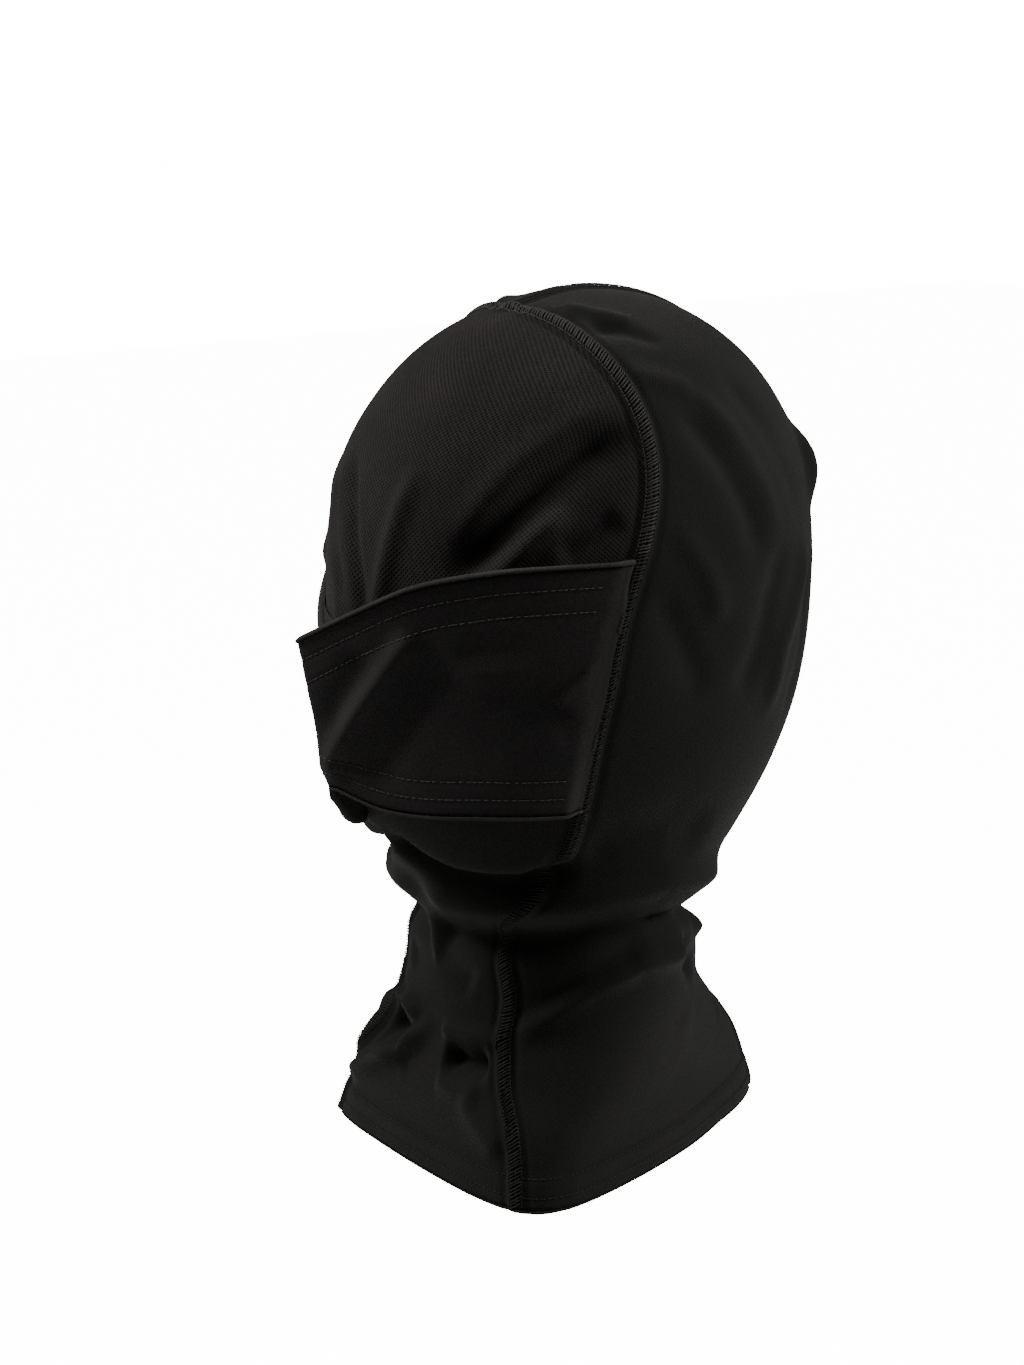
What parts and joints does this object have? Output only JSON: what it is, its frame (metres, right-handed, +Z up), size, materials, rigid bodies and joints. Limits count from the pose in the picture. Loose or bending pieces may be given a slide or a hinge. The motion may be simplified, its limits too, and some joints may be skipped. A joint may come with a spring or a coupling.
{
  "type": "balaclava",
  "caption": "Stretch-knit balaclava hood with an eyelet forehead panel, flared neck skirt and a sewn-in face mask that pulls down below the chin.",
  "frame": {"origin": "on the mid-plane, in the middle of the wearer's head, level with the ears", "axes": "+Z up to the crown, -Y the way the face looks, +X the wearer's left"},
  "size_m": [0.15, 0.2111, 0.3215],
  "materials": {
    "hood_jersey": "matt brushed knit",
    "eyelet_jersey": "matt knit with small staggered holes",
    "mask_jersey": "matt knit",
    "elastic_binding": "matt ribbed",
    "thread": "satin polyester thread",
    "label_tape": "satin tape"
  },
  "bodies": {
    "hood": {"forehead_panel": "eyelet_jersey", "throat_panel": "hood_jersey", "rear_panel_left": "hood_jersey", "rear_panel_right": "hood_jersey", "crown_seam": "thread", "side_seam_left": "thread", "side_seam_right": "thread", "centre_back_seam": "thread", "brow_binding": "elastic_binding", "chin_binding": "elastic_binding", "neck_hem_front": "hood_jersey", "neck_hem_rear_left": "hood_jersey", "neck_hem_rear_right": "hood_jersey", "neck_stitching_front": "thread", "neck_stitching_rear_left": "thread", "neck_stitching_rear_right": "thread", "care_label": "label_tape", "mask_edge_left": "mask_jersey", "mask_edge_right": "mask_jersey"},
    "mask": {"mask_panel": "mask_jersey", "mask_top_hem": "mask_jersey", "mask_bottom_hem": "mask_jersey", "mask_top_stitching": "thread", "mask_bottom_stitching": "thread"}
  },
  "joints": [
    {"name": "mask_pull_down", "type": "hinge", "parent": "hood", "child": "mask", "pos_m": [0, -0.036, -0.03], "axis": [1, 0, 0], "range_deg": [0, 45], "deforming": ["mask_edge_left", "mask_edge_right"]}
  ]
}
